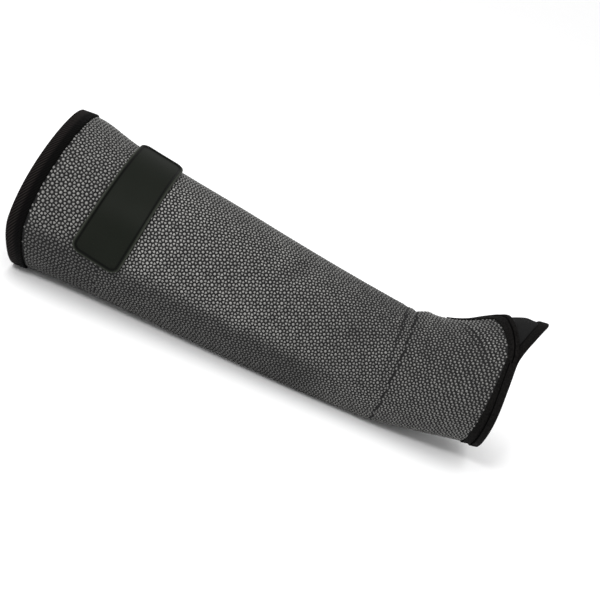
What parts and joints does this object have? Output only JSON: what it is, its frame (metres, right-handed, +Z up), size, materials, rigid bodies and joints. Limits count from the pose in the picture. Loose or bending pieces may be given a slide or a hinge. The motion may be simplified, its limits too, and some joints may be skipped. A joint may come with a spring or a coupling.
{
  "type": "cut resistant sleeve",
  "caption": "Tapered forearm sleeve of dotted guard fabric, open at both ends, with bound edges, a slit with a knit gusset at the wrist and a blank rubber patch.",
  "frame": {"origin": "on the floor under the middle of the forearm, 150 mm from the upper arm end along the sleeve", "axes": "+X along the sleeve to the wrist, +Y to the far side, +Z up with the sleeve lying on its side and its slit rolled back from the top"},
  "size_m": [0.3645, 0.12, 0.1147],
  "materials": {
    "guard_fabric": "dark woven ground under raised grey guard dots",
    "binding_tape": "matte black twill tape",
    "stretch_knit": "matte dark grey knit",
    "rubber_patch": "satin moulded rubber"
  },
  "bodies": {
    "root": {"forearm_panel": "guard_fabric", "wrist_panel": "guard_fabric", "arm_binding": "binding_tape", "flap_binding": "binding_tape", "cuff_binding": "binding_tape", "wrist_gusset": "stretch_knit", "gusset_binding": "binding_tape", "patch": "rubber_patch"}
  },
  "joints": []
}
